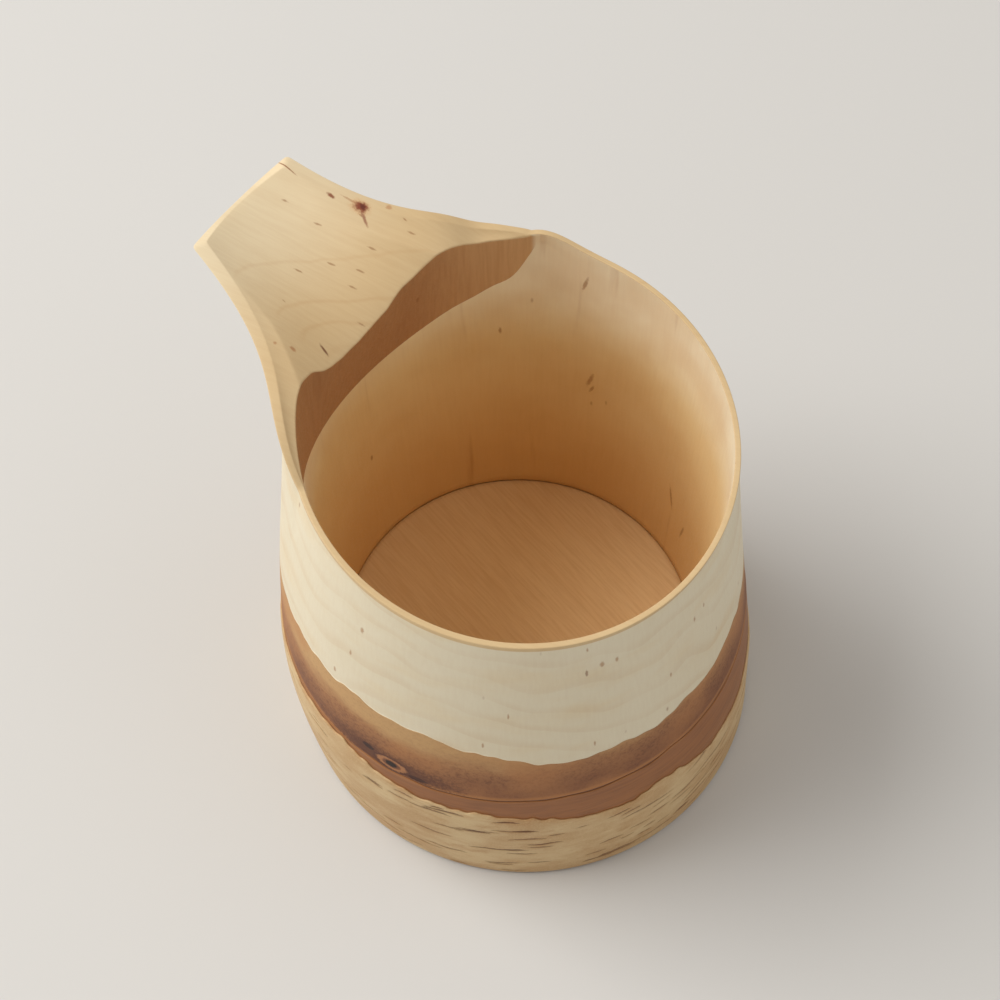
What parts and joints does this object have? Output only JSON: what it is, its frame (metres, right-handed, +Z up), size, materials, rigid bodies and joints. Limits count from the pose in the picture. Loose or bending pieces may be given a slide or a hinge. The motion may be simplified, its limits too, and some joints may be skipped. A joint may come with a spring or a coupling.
{
  "type": "wooden cup",
  "caption": "Hollowed birch log cup with a scooped tongue handle, bark left on at the foot, and a separate floor disc sprung into a groove in the wall.",
  "frame": {"origin": "on the cup's axis, in the plane that the foot stands on", "axes": "+Z up along the cup's axis, the handle points along -X, +Y across the handle"},
  "size_m": [0.1066, 0.09, 0.104],
  "materials": {
    "birch_wood": "oiled satin",
    "inner_bark": "oiled matte",
    "cork_layer": "oiled satin",
    "outer_bark": "matte",
    "floor_wood": "oiled satin"
  },
  "bodies": {
    "root": {"cup_body": "birch_wood", "inner_bark": "inner_bark", "cork_layer": "cork_layer", "outer_bark": "outer_bark", "floor_disc": "floor_wood"}
  },
  "joints": []
}
